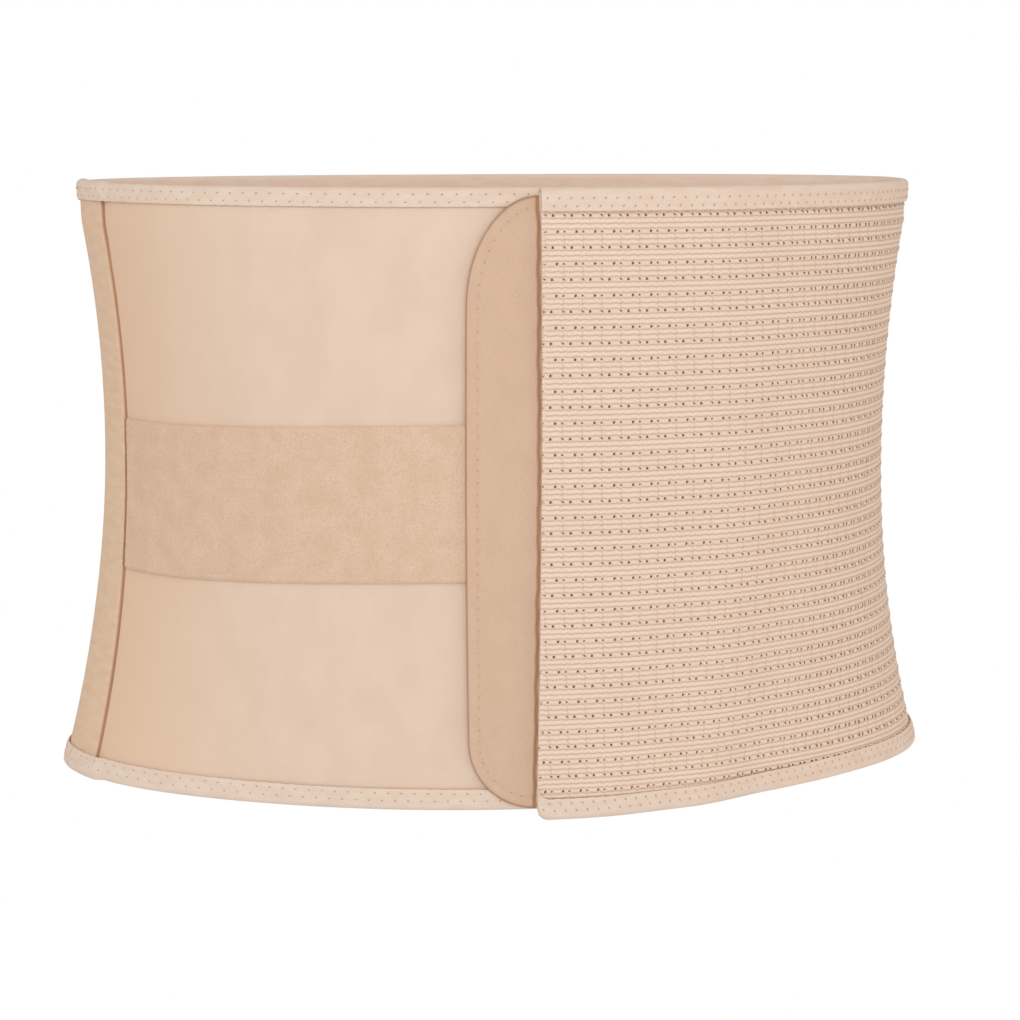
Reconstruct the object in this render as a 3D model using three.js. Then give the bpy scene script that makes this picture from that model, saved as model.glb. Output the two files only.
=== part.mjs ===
// Abdominal binder in its worn form: perforated rib elastic round the right side and the back,
// a smooth front panel with a loop band, and a hook tab that closes the two in front.
// Millimetres. +Z is up, the wearer faces -Y, +X is the viewer's right.
// The origin is the middle of the waist hollow: on its widest line, about half way up.
// A girth position is a length along the skin side at the waist, from the front centre, positive to +X.
// An offset is a distance out from the skin side, square to it.
import * as THREE from 'three'

// Torso form
const topHeight = 125.1
const bottomDepth = 127
const halfWidth = 169
const frontDepth = 146
const backDepth = 98

// Cloth
const elasticThickness = 2.2
const panelThickness = 2.2
const stripThickness = 1.2
const bandThickness = 1.5
const tabThickness = 1.8
const tapeThickness = 0.9
const clearance = 0.3

// Closure at the front
const closingEdge = -17
const tabReach = 29.2
const tabTuck = 30
const panelTuck = 72
const tabTopMargin = 3.1
const tabBottomMargin = 1
const tabTopCorner = 43
const tabBottomCorner = 28
const topCornerPower = 2
const bottomCornerPower = 2
const closingDrop = 3.4
const dropLength = 190
const hemCorner = 5

// Loop band, side strip and edge tape
const bandHeight = 63
const bandEndDrop = 5.5
const bandTuck = 24
const sideSeam = -222
const stripWidth = 45
const tapeHeight = 9.2
const frontTopTapeHeight = 7.6

// Softness of the steps where one layer runs over the end of another
const tabEndRamp = 32
const panelEndRamp = 45
const bandRamp = 12
const stripRamp = 7

// Facets
const girthStep = 17
const clothRows = 8
const bandRows = 4
const tabEndRows = 4
const bendSteps = 4
const cornerSteps = 6
const sectionStep = 15

// Torso section, one row every 15 degrees round from the front. The columns are shares of the radius
// of an oval with the half width and depths above, at the top edge, the waist and the bottom edge.
const torsoSection = [
  { top: 0.95, waist: 1.0, bottom: 0.9 },
  { top: 0.975, waist: 1.005, bottom: 0.905 },
  { top: 1.005, waist: 1.025, bottom: 0.92 },
  { top: 1.025, waist: 1.02, bottom: 0.945 },
  { top: 1.045, waist: 1.0, bottom: 0.995 },
  { top: 1.06, waist: 0.985, bottom: 1.075 },
  { top: 1.075, waist: 1.0, bottom: 1.125 },
  { top: 1.1, waist: 1.03, bottom: 1.125 },
  { top: 1.1, waist: 1.035, bottom: 1.09 },
  { top: 1.08, waist: 1.03, bottom: 1.06 },
  { top: 1.05, waist: 1.02, bottom: 1.03 },
  { top: 1.02, waist: 1.01, bottom: 1.005 },
  { top: 1.0, waist: 1.0, bottom: 0.985 },
]

const cloths = {
  elastic: { color: 0xddc6b2, roughness: 0.85 },
  panel: { color: 0xe2c9b3, roughness: 0.75 },
  strip: { color: 0xdcc0a5, roughness: 0.8 },
  band: { color: 0xdabca2, roughness: 0.95 },
  tab: { color: 0xd7b69b, roughness: 0.9 },
  tape: { color: 0xe6d1bf, roughness: 0.7 },
}

// A smooth step from 0 to 1
function ease(value) {
  const x = Math.min(Math.max(value, 0), 1)
  return x * x * (3 - 2 * x)
}

// Share of one section row at a height, on the parabola through top, waist and bottom
function rowShare(row, height) {
  const rise = height / bottomDepth
  const lean = (row.top - row.bottom) / 2
  const flare = (row.top + row.bottom) / 2 - row.waist
  return row.waist + lean * rise + flare * rise * rise
}

// Skin-side radius at an angle from the front, in radians: a cubic spline through the section table
function torsoRadius(angle, height) {
  const last = torsoSection.length - 1
  const place = Math.abs(THREE.MathUtils.radToDeg(angle)) / sectionStep
  const index = Math.min(Math.floor(place), last - 1)
  const f = place - index
  const share = (offset) => {
    const folded = Math.abs(index + offset)
    return rowShare(torsoSection[folded > last ? 2 * last - folded : folded], height)
  }
  const blend = share(-1) * (1 - f) ** 3
    + share(0) * (3 * f ** 3 - 6 * f ** 2 + 4)
    + share(1) * (-3 * f ** 3 + 3 * f ** 2 + 3 * f + 1)
    + share(2) * f ** 3
  const depth = Math.cos(angle) > 0 ? frontDepth : backDepth
  return blend / 6 / Math.hypot(Math.sin(angle) / halfWidth, Math.cos(angle) / depth)
}

function skinPoint(angle, height) {
  const radius = torsoRadius(angle, height)
  return new THREE.Vector3(radius * Math.sin(angle), -radius * Math.cos(angle), height)
}

// Girth positions against angle at the waist, from the back round the front to the back
const girthTable = []
const girthSamples = 720
for (let i = 0; i <= girthSamples; i += 1) {
  const angle = -Math.PI + (2 * Math.PI * i) / girthSamples
  const before = girthTable[i - 1]
  const length = before ? before.length + skinPoint(angle, 0).distanceTo(before.point) : 0
  girthTable.push({ angle, length, point: skinPoint(angle, 0) })
}
const girth = girthTable[girthSamples].length

// Angle of a girth position, also past the back centre
function girthAngle(position) {
  const turns = Math.floor(position / girth + 0.5)
  const wanted = position - turns * girth + girth / 2
  const found = girthTable.findIndex((entry) => entry.length >= wanted)
  const index = found > 0 ? found : 1
  const low = girthTable[index - 1]
  const high = girthTable[index]
  const f = (wanted - low.length) / (high.length - low.length)
  return low.angle + f * (high.angle - low.angle) + 2 * Math.PI * turns
}

// Point at a girth position, an offset from the skin side and a height
function place(position, offset, height) {
  const angle = girthAngle(position)
  const wrapped = Math.atan2(Math.sin(angle), Math.cos(angle))
  const turn = 0.01
  const ahead = skinPoint(wrapped + turn, height)
  const behind = skinPoint(wrapped - turn, height)
  const along = ahead.sub(behind).normalize()
  const outward = new THREE.Vector3(along.y, -along.x, 0)
  return skinPoint(wrapped, height).addScaledVector(outward, offset)
}

// Girth positions that hit every key, with no step longer than the limit
function stations(keys, step) {
  const sorted = [...new Set(keys)].sort((a, b) => a - b)
  const list = [sorted[0]]
  for (let i = 1; i < sorted.length; i += 1) {
    const count = Math.ceil((sorted[i] - sorted[i - 1]) / step)
    for (let k = 1; k <= count; k += 1) {
      list.push(sorted[i - 1] + ((sorted[i] - sorted[i - 1]) * k) / count)
    }
  }
  return list
}

// One closed solid along the girth. At each station the section is a strip of cloth: pairs of an
// outer and an inner point, each an offset and a height, from one long edge to the other.
// Each facet is split from its low left to its high right corner, so that layers lie close.
function strip(name, cloth, positions, section) {
  const points = []
  for (const position of positions) {
    for (const pair of section(position)) {
      points.push(place(position, pair.outer.x, pair.outer.y), place(position, pair.inner.x, pair.inner.y))
    }
  }
  const sample = section(positions[0])
  const pairs = sample.length
  const at = (station, pair, side) => (station * pairs + pair) * 2 + side
  const faces = []
  const quad = (a, b, c, d, rising = true) => {
    faces.push(...(rising ? [a, b, c, a, c, d] : [b, c, d, b, d, a]))
  }
  const lastStation = positions.length - 1
  const lastPair = pairs - 1
  for (let i = 0; i < lastStation; i += 1) {
    for (let j = 0; j < lastPair; j += 1) {
      const rising = sample[j + 1].outer.y >= sample[j].outer.y
      quad(at(i, j, 0), at(i + 1, j, 0), at(i + 1, j + 1, 0), at(i, j + 1, 0), rising)
      quad(at(i, j, 1), at(i, j + 1, 1), at(i + 1, j + 1, 1), at(i + 1, j, 1), rising)
    }
    quad(at(i, 0, 1), at(i + 1, 0, 1), at(i + 1, 0, 0), at(i, 0, 0))
    quad(at(i, lastPair, 0), at(i + 1, lastPair, 0), at(i + 1, lastPair, 1), at(i, lastPair, 1))
  }
  for (let j = 0; j < lastPair; j += 1) {
    quad(at(0, j, 1), at(0, j, 0), at(0, j + 1, 0), at(0, j + 1, 1))
    quad(at(lastStation, j, 0), at(lastStation, j, 1), at(lastStation, j + 1, 1), at(lastStation, j + 1, 0))
  }
  const geometry = new THREE.BufferGeometry().setFromPoints(points)
  geometry.setIndex(faces)
  geometry.computeVertexNormals()
  const mesh = new THREE.Mesh(geometry, new THREE.MeshStandardMaterial({ ...cloth, metalness: 0 }))
  mesh.name = name
  return mesh
}

// Heights from the first key to the last, with a number of even steps from each key to the next
function levels(keys, counts) {
  const list = [keys[0]]
  counts.forEach((count, index) => {
    for (let k = 1; k <= count; k += 1) {
      list.push(keys[index] + ((keys[index + 1] - keys[index]) * k) / count)
    }
  })
  return list
}

// Heights of a cloth between its edges, with rows as high as the edge tape's legs at both edges
function clothLevels(low, high) {
  return levels([low, low + tapeLeg, high - tapeLeg, high], [1, clothRows, 1])
}

// Section of a sheet at some heights, with its skin face at an offset that may change with height
function sheetSection(heights, inside, thickness) {
  return heights.map((height) => ({
    outer: new THREE.Vector2(inside(height) + thickness, height),
    inner: new THREE.Vector2(inside(height), height),
  }))
}

// Section of tape folded over an edge, from one leg round the bend to the other. The cloth inside
// lies between two offsets and ends on the centre line of the bend. Side is 1 at the top edge, -1 at the bottom.
function foldSection(inside, outside, edge, side, leg) {
  const middle = (inside + outside) / 2
  const innerHalf = (outside - inside) / 2 + clearance
  const outerHalf = innerHalf + tapeThickness
  const pair = (turn, drop) => {
    const across = Math.cos(turn)
    const up = Math.sin(turn)
    return {
      outer: new THREE.Vector2(middle + side * outerHalf * across, edge + side * (foldRise * up - drop)),
      inner: new THREE.Vector2(
        middle + side * innerHalf * across,
        edge + side * ((foldRise - tapeThickness) * up - drop),
      ),
    }
  }
  const bend = Array.from({ length: bendSteps + 1 }, (_, step) => pair((Math.PI * step) / bendSteps, 0))
  return [pair(0, leg), ...bend, pair(Math.PI, leg)]
}

// Places that the sizes above set
const foldRise = panelThickness / 2 + clearance + tapeThickness
const tapeLeg = tapeHeight - foldRise
const frontTopTapeLeg = frontTopTapeHeight - foldRise
const clothTop = topHeight - foldRise
const clothFoot = bottomDepth - foldRise
const tabLeft = closingEdge - tabReach
const tabRight = closingEdge + tabTuck
const panelEnd = closingEdge + panelTuck
const bandEnd = closingEdge + bandTuck
const sideJoint = sideSeam - stripWidth / 2
const stripRear = sideSeam - stripWidth
const elasticEnd = girth + sideJoint - clearance
const tabOffsetPlain = panelThickness + clearance + tapeThickness + clearance
const tabOffsetBand = panelThickness + clearance + bandThickness + clearance
const foldInside = clearance + tapeThickness + clearance
const elasticOverPanel = panelThickness + clearance + tapeThickness + foldInside
const elasticOverTab = tabOffsetPlain + tabThickness + foldInside

// Skin-side offset of the elastic: high over the tab and the panel's end, then down to the skin
function elasticOffset(position) {
  const offTab = ease((position - tabRight - clearance) / tabEndRamp)
  const offPanel = ease((position - panelEnd - clearance) / panelEndRamp)
  return elasticOverTab + (elasticOverPanel - elasticOverTab) * offTab - elasticOverPanel * offPanel
}

// Skin-side offset of the tab: raised where it grips the loop band
function tabOffset(height) {
  const past = Math.abs(height) - bandHeight / 2 - clearance
  return tabOffsetBand + (tabOffsetPlain - tabOffsetBand) * ease(past / bandRamp)
}

// Extra offset of the front tape where it runs over the side strip
function stripRise(position) {
  const within = Math.min(sideSeam - position, position - stripRear) + stripRamp
  return (stripThickness + clearance) * ease(within / stripRamp)
}

// How far the elastic's hem rises at the rounded corner by the closing edge
function hemLift(position) {
  const into = Math.max(hemCorner - (position - closingEdge), 0) / hemCorner
  return hemCorner * (1 - Math.sqrt(1 - into * into))
}

// Height of the elastic's bottom edge: lower by the closure, rising to the level hem at the side
function elasticBottom(position) {
  const fade = 1 - ease((position - closingEdge) / dropLength)
  return -clothFoot - closingDrop * fade + hemLift(position)
}

// Share of a rounded corner's height that the tab's outline has reached at a position
function cornerShare(position, power) {
  const into = Math.min((position - tabLeft) / tabReach, 1)
  return (1 - (1 - into) ** power) ** (1 / power)
}

// Girth positions that the layers share, so that cloth and what lies on it have their facets in line
const hemRound = Array.from({ length: cornerSteps + 1 }, (_, step) => (
  closingEdge + (hemCorner * step) / cornerSteps
))
const tabRound = Array.from({ length: cornerSteps + 1 }, (_, step) => (
  tabLeft + tabReach * (1 - Math.cos((Math.PI * step) / 2 / cornerSteps))
))
const frontJoint = sideJoint + clearance
const bandStart = sideSeam + clearance
const backStripEdge = girth + stripRear
const allStations = stations([
  stripRear, frontJoint, sideSeam, bandStart, sideSeam + stripRamp / 2, sideSeam + stripRamp,
  ...tabRound, ...hemRound, bandEnd, tabRight, tabRight + tabEndRamp, panelEnd, panelEnd + panelEndRamp,
  backStripEdge - stripRamp, backStripEdge - stripRamp / 2, backStripEdge, elasticEnd,
], girthStep)

function span(from, to) {
  return allStations.filter((position) => position >= from && position <= to)
}

function elasticPanel() {
  return strip('elastic_panel', cloths.elastic, span(closingEdge, elasticEnd), (position) => (
    sheetSection(clothLevels(elasticBottom(position), clothTop), () => elasticOffset(position), elasticThickness)
  ))
}

function frontPanel() {
  return strip('front_panel', cloths.panel, span(frontJoint, panelEnd), () => (
    sheetSection(clothLevels(-clothFoot, clothTop), () => 0, panelThickness)
  ))
}

function sideStrip() {
  const inside = panelThickness + clearance
  return strip('side_strip', cloths.strip, span(stripRear, sideSeam), () => (
    sheetSection(clothLevels(-clothFoot, clothTop), () => inside, stripThickness)
  ))
}

function loopBand() {
  const inside = panelThickness + clearance
  return strip('loop_band', cloths.band, span(bandStart, bandEnd), (position) => {
    const centre = -bandEndDrop * ease((tabLeft - position) / (tabLeft - bandStart))
    const half = bandHeight / 2
    return sheetSection(levels([centre - half, centre + half], [bandRows]), () => inside, bandThickness)
  })
}

function hookTab() {
  const straightTop = topHeight - tabTopMargin - tabTopCorner
  const straightBottom = -bottomDepth + tabBottomMargin + tabBottomCorner
  const high = bandHeight / 2 + clearance
  const low = high + bandRamp
  return strip('hook_tab', cloths.tab, span(tabLeft, tabRight), (position) => {
    const top = straightTop + tabTopCorner * cornerShare(position, topCornerPower)
    const bottom = straightBottom - tabBottomCorner * cornerShare(position, bottomCornerPower)
    const heights = levels([bottom, -low, -high, high, low, top], [tabEndRows, 2, bandRows, 2, tabEndRows])
    return sheetSection(heights, tabOffset, tabThickness)
  })
}

function frontBinding(name, edge, side, leg) {
  return strip(name, cloths.tape, span(frontJoint, panelEnd), (position) => (
    foldSection(0, panelThickness + stripRise(position), edge, side, leg)
  ))
}

function elasticBinding(name, side) {
  return strip(name, cloths.tape, span(closingEdge, elasticEnd), (position) => {
    const inside = elasticOffset(position)
    const outside = inside + elasticThickness + stripRise(position - girth)
    const edge = side > 0 ? clothTop : elasticBottom(position)
    return foldSection(inside, outside, edge, side, tapeLeg)
  })
}

const binder = new THREE.Group()
binder.add(
  elasticPanel(),
  frontPanel(),
  sideStrip(),
  loopBand(),
  hookTab(),
  frontBinding('front_top_binding', clothTop, 1, frontTopTapeLeg),
  frontBinding('front_bottom_binding', -clothFoot, -1, tapeLeg),
  elasticBinding('elastic_top_binding', 1),
  elasticBinding('elastic_bottom_binding', -1),
)

export default binder
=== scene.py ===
import math
from collections import namedtuple

import bmesh
import bpy
import numpy as np
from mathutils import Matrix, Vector


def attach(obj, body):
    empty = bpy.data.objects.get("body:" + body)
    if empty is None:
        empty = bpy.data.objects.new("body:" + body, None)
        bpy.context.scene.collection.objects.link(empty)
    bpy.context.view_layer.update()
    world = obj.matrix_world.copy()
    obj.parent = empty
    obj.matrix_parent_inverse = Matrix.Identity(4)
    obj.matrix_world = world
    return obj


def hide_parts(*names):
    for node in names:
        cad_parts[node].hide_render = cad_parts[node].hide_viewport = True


MM = 0.001

# Driving sizes of the binder, as the solids have them
TOP_HEIGHT = 125.1 * MM
BOTTOM_DEPTH = 127 * MM
HALF_WIDTH = 169 * MM
FRONT_DEPTH = 146 * MM
BACK_DEPTH = 98 * MM
ELASTIC_THICKNESS = 2.2 * MM
PANEL_THICKNESS = 2.2 * MM
STRIP_THICKNESS = 1.2 * MM
BAND_THICKNESS = 1.5 * MM
TAB_THICKNESS = 1.8 * MM
TAPE_THICKNESS = 0.9 * MM
CLEARANCE = 0.3 * MM
CLOSING_EDGE = -17 * MM
TAB_REACH = 29.2 * MM
TAB_TUCK = 30 * MM
PANEL_TUCK = 72 * MM
TAB_TOP_MARGIN = 3.1 * MM
TAB_BOTTOM_MARGIN = 1 * MM
TAB_TOP_CORNER = 43 * MM
TAB_BOTTOM_CORNER = 28 * MM
TOP_CORNER_POWER = 2
BOTTOM_CORNER_POWER = 2
CLOSING_DROP = 3.4 * MM
DROP_LENGTH = 190 * MM
HEM_CORNER = 5 * MM
BAND_HEIGHT = 63 * MM
BAND_END_DROP = 5.5 * MM
BAND_TUCK = 24 * MM
SIDE_SEAM = -222 * MM
SEAM_WIDTH = 1.1 * MM
STRIP_WIDTH = 45 * MM
TAPE_HEIGHT = 9.2 * MM
FRONT_TOP_TAPE_HEIGHT = 7.6 * MM
TAB_END_RAMP = 32 * MM
PANEL_END_RAMP = 45 * MM
BAND_RAMP = 12 * MM
STRIP_RAMP = 7 * MM

# Sizes that follow from them
FOLD_RISE = PANEL_THICKNESS / 2 + CLEARANCE + TAPE_THICKNESS
TAPE_LEG = TAPE_HEIGHT - FOLD_RISE
FRONT_TOP_TAPE_LEG = FRONT_TOP_TAPE_HEIGHT - FOLD_RISE
CLOTH_TOP = TOP_HEIGHT - FOLD_RISE
CLOTH_FOOT = BOTTOM_DEPTH - FOLD_RISE
TAB_LEFT = CLOSING_EDGE - TAB_REACH
TAB_RIGHT = CLOSING_EDGE + TAB_TUCK
PANEL_END = CLOSING_EDGE + PANEL_TUCK
BAND_END = CLOSING_EDGE + BAND_TUCK
SIDE_JOINT = SIDE_SEAM - STRIP_WIDTH / 2
STRIP_REAR = SIDE_SEAM - STRIP_WIDTH
FRONT_JOINT = SIDE_JOINT + CLEARANCE
BAND_START = SIDE_SEAM + CLEARANCE
BAND_OFFSET = PANEL_THICKNESS + CLEARANCE
CLOSE_FIT = 0.2 * MM
TAB_OFFSET_PLAIN = PANEL_THICKNESS + CLEARANCE + TAPE_THICKNESS + CLEARANCE
TAB_OFFSET_BAND = BAND_OFFSET + BAND_THICKNESS + CLEARANCE
ELASTIC_OVER_PANEL = 4.9 * MM
ELASTIC_OVER_TAB = 7.0 * MM

# Width and depth shares of the torso at the top, the waist and the bottom, every 15 degrees from the front
SECTION_STEP = 15
SECTION_ROWS = (
    (0.95, 1, 0.9), (0.975, 1.005, 0.905), (1.005, 1.025, 0.92), (1.025, 1.02, 0.945), (1.045, 1, 0.995),
    (1.06, 0.985, 1.075), (1.075, 1, 1.125), (1.1, 1.03, 1.125), (1.1, 1.035, 1.09), (1.08, 1.03, 1.06),
    (1.05, 1.02, 1.03), (1.02, 1.01, 1.005), (1, 1, 0.985),
)

# How far the top edge pulls in, and over what height
TOP_PULL = 2.2 * MM
PULL_HEIGHT = 20 * MM

# The knit of the elastic
RIB = 6.28 * MM / 3
KNIT_TOP = 113.9 * MM
CELL_WIDTH = 7.75 * MM
KNIT_ORIGIN = -1.5 * MM

# How the worn knit's columns bow sideways over the height, and stretch over the front panel's end
BOW_LEVEL = 35 * MM
BOW_RATE = 0.26
STRETCH = 2.6 * MM
STRETCH_MIDDLE = 90 * MM
STRETCH_WIDTH = 15 * MM

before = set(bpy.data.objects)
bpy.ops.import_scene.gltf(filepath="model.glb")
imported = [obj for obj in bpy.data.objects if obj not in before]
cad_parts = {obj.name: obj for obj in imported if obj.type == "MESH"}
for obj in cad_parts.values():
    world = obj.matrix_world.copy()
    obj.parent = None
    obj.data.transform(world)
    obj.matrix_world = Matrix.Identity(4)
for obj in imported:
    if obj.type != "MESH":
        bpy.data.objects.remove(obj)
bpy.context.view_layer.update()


# The torso's surface

def ease(x):
    x = np.clip(x, 0, 1)
    return x * x * (3 - 2 * x)


def row_share(top, waist, bottom, height):
    rise = height / BOTTOM_DEPTH
    lean = (top - bottom) / 2
    flare = (top + bottom) / 2 - waist
    return waist + lean * rise + flare * rise * rise


def torso_radius(angle, height):
    """Distance of the skin from the torso's axis, by a cubic B-spline through the section rows."""
    rows = np.array(SECTION_ROWS)
    last = len(rows) - 1
    turn = np.abs(np.degrees(np.arctan2(np.sin(angle), np.cos(angle)))) / SECTION_STEP
    index = np.minimum(np.floor(turn).astype(int), last - 1)
    f = turn - index
    weights = (
        (1 - f) ** 3 / 6,
        (3 * f ** 3 - 6 * f ** 2 + 4) / 6,
        (-3 * f ** 3 + 3 * f ** 2 + 3 * f + 1) / 6,
        f ** 3 / 6,
    )
    share = 0
    for step, weight in enumerate(weights):
        near = np.abs(index - 1 + step)
        near = np.where(near > last, 2 * last - near, near)
        top, waist, bottom = rows[near, 0], rows[near, 1], rows[near, 2]
        share = share + weight * row_share(top, waist, bottom, height)
    depth = np.where(np.cos(angle) > 0, FRONT_DEPTH, BACK_DEPTH)
    return share / np.hypot(np.sin(angle) / HALF_WIDTH, np.cos(angle) / depth)


def skin_point(angle, height):
    radius = torso_radius(angle, height)
    return radius * np.sin(angle), -radius * np.cos(angle)


GIRTH_SAMPLES = 720
girth_angles = np.linspace(-math.pi, math.pi, GIRTH_SAMPLES + 1)
girth_x, girth_y = skin_point(girth_angles, 0 * girth_angles)
girth_lengths = np.concatenate([[0], np.cumsum(np.hypot(np.diff(girth_x), np.diff(girth_y)))])
GIRTH = girth_lengths[-1]
ELASTIC_END = GIRTH + SIDE_JOINT - CLEARANCE


def girth_angle(position):
    """Angle round the torso at a distance along its waist from the middle of the front."""
    middle = girth_lengths[GIRTH_SAMPLES // 2]
    turns = np.floor((position + middle) / GIRTH)
    return np.interp(position + middle - turns * GIRTH, girth_lengths, girth_angles)


def place(position, offset, height):
    """Points at a girth position, a distance outside the skin and a height, as an array of rows x, y, z."""
    position, offset, height = np.broadcast_arrays(position, offset, height)
    offset = offset - TOP_PULL * ease((height - TOP_HEIGHT + PULL_HEIGHT) / PULL_HEIGHT)
    nudge = 0.01
    angle = girth_angle(position)
    x, y = skin_point(angle, height)
    x1, y1 = skin_point(angle - nudge, height)
    x2, y2 = skin_point(angle + nudge, height)
    dx, dy = x2 - x1, y2 - y1
    length = np.hypot(dx, dy)
    return np.stack([x + dy / length * offset, y - dx / length * offset, height + 0 * x], axis=-1)


# Where each layer lies on it

def elastic_offset(p):
    over_tab = ease((p - TAB_RIGHT - CLEARANCE) / TAB_END_RAMP)
    over_panel = ease((p - PANEL_END - CLEARANCE) / PANEL_END_RAMP)
    step_down = ELASTIC_OVER_TAB - ELASTIC_OVER_PANEL
    return ELASTIC_OVER_TAB - step_down * over_tab - ELASTIC_OVER_PANEL * over_panel


def tab_offset(h):
    off_band = ease((np.abs(h) - BAND_HEIGHT / 2 - CLEARANCE) / BAND_RAMP)
    return TAB_OFFSET_BAND + (TAB_OFFSET_PLAIN - TAB_OFFSET_BAND) * off_band


def strip_rise(p):
    inside = np.minimum(SIDE_SEAM - p, p - STRIP_REAR)
    return (STRIP_THICKNESS + CLEARANCE) * ease((inside + STRIP_RAMP) / STRIP_RAMP)


def elastic_bottom(p):
    into = np.maximum(HEM_CORNER - (p - CLOSING_EDGE), 0) / HEM_CORNER
    hem_lift = HEM_CORNER * (1 - np.sqrt(np.maximum(1 - into ** 2, 0)))
    return -CLOTH_FOOT - CLOSING_DROP * (1 - ease((p - CLOSING_EDGE) / DROP_LENGTH)) + hem_lift


def band_middle(p):
    return -BAND_END_DROP * ease((TAB_LEFT - p) / (TAB_LEFT - BAND_START))


def corner_share(p, power):
    into = np.clip((p - TAB_LEFT) / TAB_REACH, 0, 1)
    return (1 - (1 - into) ** power) ** (1 / power)


def tab_top(p):
    straight = TOP_HEIGHT - TAB_TOP_MARGIN - TAB_TOP_CORNER
    return straight + TAB_TOP_CORNER * corner_share(p, TOP_CORNER_POWER)


def tab_bottom(p):
    straight = -BOTTOM_DEPTH + TAB_BOTTOM_MARGIN + TAB_BOTTOM_CORNER
    return straight - TAB_BOTTOM_CORNER * corner_share(p, BOTTOM_CORNER_POWER)


# Mesh making

def add_object(name, data):
    made = bpy.data.objects.new(name, data)
    bpy.context.scene.collection.objects.link(made)
    return made


def finish_piece(name, mesh, material, nodes):
    """One piece of the object: shaded smoothly, with its finish, riding on the body."""
    for polygon in mesh.polygons:
        polygon.use_smooth = True
    mesh.set_sharp_from_angle(angle=math.radians(50))
    mesh.materials.clear()
    mesh.materials.append(material)
    piece = add_object(name, mesh)
    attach(piece, "root")
    if nodes:
        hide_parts(*nodes)
    return piece


def add_values(mesh, name, values):
    """A number for each point of a mesh, as an attribute that its finish or a later step reads."""
    layer = mesh.attributes.new(name, "FLOAT", "POINT")
    layer.data.foreach_set("value", np.asarray(values, np.float32))


def point_values(mesh, name):
    values = np.zeros(len(mesh.vertices), np.float32)
    mesh.attributes[name].data.foreach_get("value", values)
    return values.astype(float)


def new_mesh(name, points, faces, uvs=None, shade=None):
    mesh = bpy.data.meshes.new(name)
    mesh.from_pydata(np.asarray(points).reshape(-1, 3).tolist(), [], faces)
    if uvs is not None:
        corners = np.zeros(len(mesh.loops), np.int32)
        mesh.loops.foreach_get("vertex_index", corners)
        layer = mesh.uv_layers.new(name="cloth")
        layer.data.foreach_set("uv", np.asarray(uvs, np.float32)[corners].ravel())
    if shade is not None:
        add_values(mesh, "shade", shade)
    mesh.validate()
    return mesh


def loft(name, positions, offsets, heights, shade=None):
    """A closed band of cloth. Row i of offsets and heights is its section at positions[i], a closed loop."""
    count, ring = offsets.shape
    points = place(np.asarray(positions)[:, None], offsets, heights)
    walk = np.hypot(np.diff(offsets, axis=1), np.diff(heights, axis=1))
    across = np.concatenate([np.zeros((count, 1)), np.cumsum(walk, axis=1)], axis=1)
    uvs = np.stack([np.broadcast_to(np.asarray(positions)[:, None], offsets.shape), across], axis=-1)
    faces = [list(range(ring))[::-1], [(count - 1) * ring + j for j in range(ring)]]
    for i in range(count - 1):
        for j in range(ring):
            k = (j + 1) % ring
            faces.append([i * ring + j, i * ring + k, (i + 1) * ring + k, (i + 1) * ring + j])
    shades = None if shade is None else shade.ravel()
    mesh = new_mesh(name, points, faces, uvs.reshape(-1, 2), shades)
    return outward(mesh)


def make_cloth(name, positions, section, material, node):
    """A piece of cloth lofted through its sections: offsets, heights and perhaps shades at each position."""
    rows = [np.array(part) for part in zip(*(section(p) for p in positions))]
    return finish_piece(name, loft(name, positions, *rows), material, (node,))


def outward(mesh):
    """Turns all faces of a closed mesh outwards."""
    work = bmesh.new()
    work.from_mesh(mesh)
    bmesh.ops.recalc_face_normals(work, faces=work.faces)
    if work.calc_volume(signed=True) < 0:
        bmesh.ops.reverse_faces(work, faces=work.faces)
    work.to_mesh(mesh)
    work.free()
    return mesh


def stops(start, end, step):
    return np.linspace(start, end, max(2, int(round((end - start) / step)) + 1))


def round_rim(to_edge, rim):
    """How far a rounded rim has risen, from 0 to 1, at a distance from the edge."""
    return np.sqrt(np.clip(1 - (1 - np.clip(to_edge / rim, 0, 1)) ** 2, 0, 1))


# Rows of points up the inner face of a cloth, and the share of its half thickness that its rim keeps
INNER_ROWS = 16
RIM_SHARE = 0.25


def cloth_section(low, high, inside, outside, rows, rim):
    """Offsets and heights round a cloth's section: up its outer face, over the rim, down its inner face."""
    height = low + (high - low) * np.linspace(0, 1, rows)
    risen = round_rim(np.minimum(height - low, high - height), rim)
    middle = (inside + outside) / 2
    outer = middle + (outside - middle) * (RIM_SHARE + (1 - RIM_SHARE) * risen)
    inner_height = low + (high - low) * np.linspace(1, 0, INNER_ROWS)
    inner = np.full(INNER_ROWS, inside)
    return np.concatenate([outer, inner]), np.concatenate([height, inner_height])


def zip_lines(low, high, low_stops, high_stops):
    """Faces between two lines of points that run the same way, each with its own stops."""
    faces = []
    i = j = 0
    while i < len(low) - 1 or j < len(high) - 1:
        next_low = low_stops[i + 1] if i < len(low) - 1 else math.inf
        next_high = high_stops[j + 1] if j < len(high) - 1 else math.inf
        if abs(next_low - next_high) < 1e-6:
            faces.append([low[i], low[i + 1], high[j + 1], high[j]])
            i += 1
            j += 1
        elif next_low < next_high:
            faces.append([low[i], low[i + 1], high[j]])
            i += 1
        else:
            faces.append([low[i], high[j + 1], high[j]])
            j += 1
    return faces


# Nodes

def fill(tree, socket, value):
    """Links a node's input to another node's socket, or sets it to a plain value."""
    if isinstance(value, bpy.types.NodeSocket):
        tree.links.new(value, socket)
    else:
        socket.default_value = value


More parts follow.
